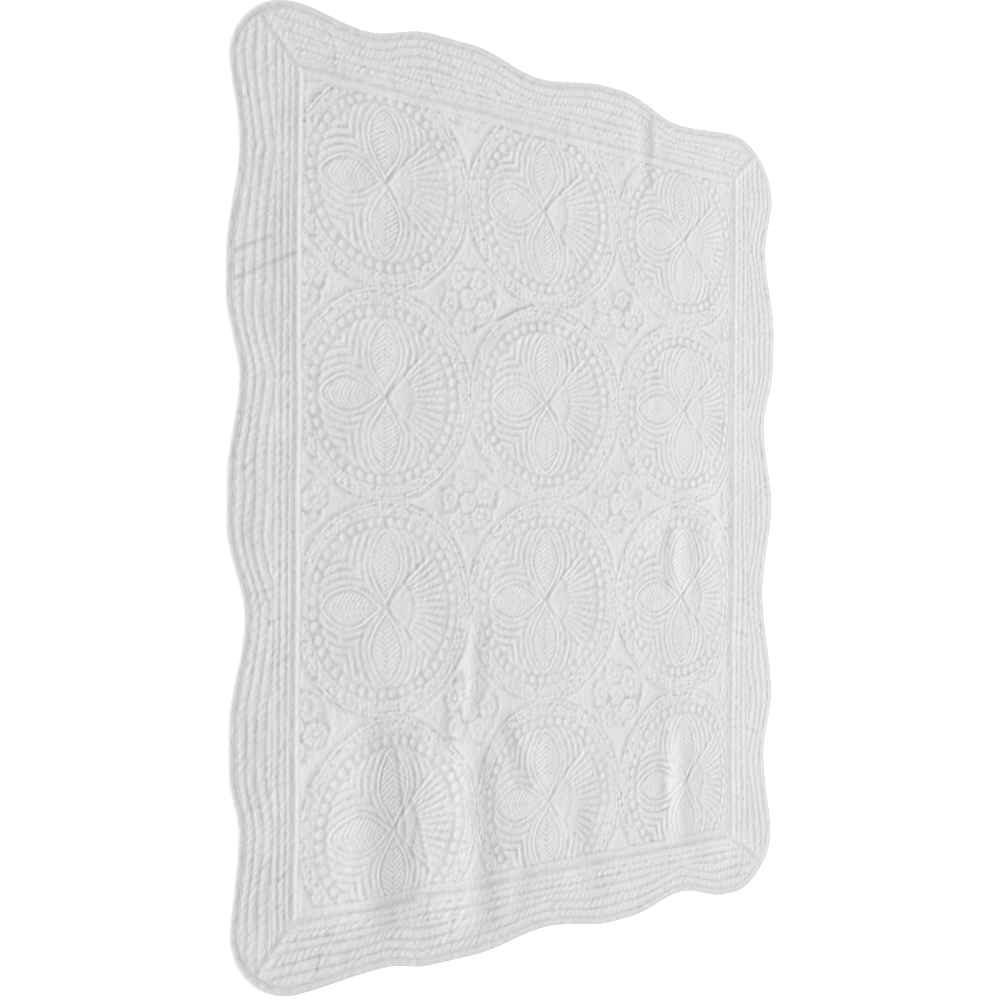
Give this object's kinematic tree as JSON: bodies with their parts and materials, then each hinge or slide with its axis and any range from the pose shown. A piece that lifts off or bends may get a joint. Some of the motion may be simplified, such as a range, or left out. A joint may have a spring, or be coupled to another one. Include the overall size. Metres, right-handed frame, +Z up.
{
  "type": "quilted baby blanket",
  "caption": "Flat quilted baby blanket with a panel of quilted rounds, channel-quilted mitred borders and a bound scalloped edge.",
  "frame": {"origin": "middle of the bounding box, at the flat underside that lies on the surface", "axes": "+X across the blanket to the side where the ribbed fans point, +Y along its length towards the head, +Z up out of the quilted face"},
  "size_m": [0.919, 1.114, 0.0076],
  "materials": {
    "quilted_cotton": "washed white cotton, quilted over thin wadding",
    "border_cotton": "washed white cotton, channel quilted",
    "binding_cotton": "white cotton cut on the bias, rolled over the edge"
  },
  "bodies": {
    "root": {"centre_panel": "quilted_cotton", "border_left": "border_cotton", "border_right": "border_cotton", "border_head": "border_cotton", "border_foot": "border_cotton", "binding_left": "binding_cotton", "binding_right": "binding_cotton", "binding_head": "binding_cotton", "binding_foot": "binding_cotton"}
  },
  "joints": []
}
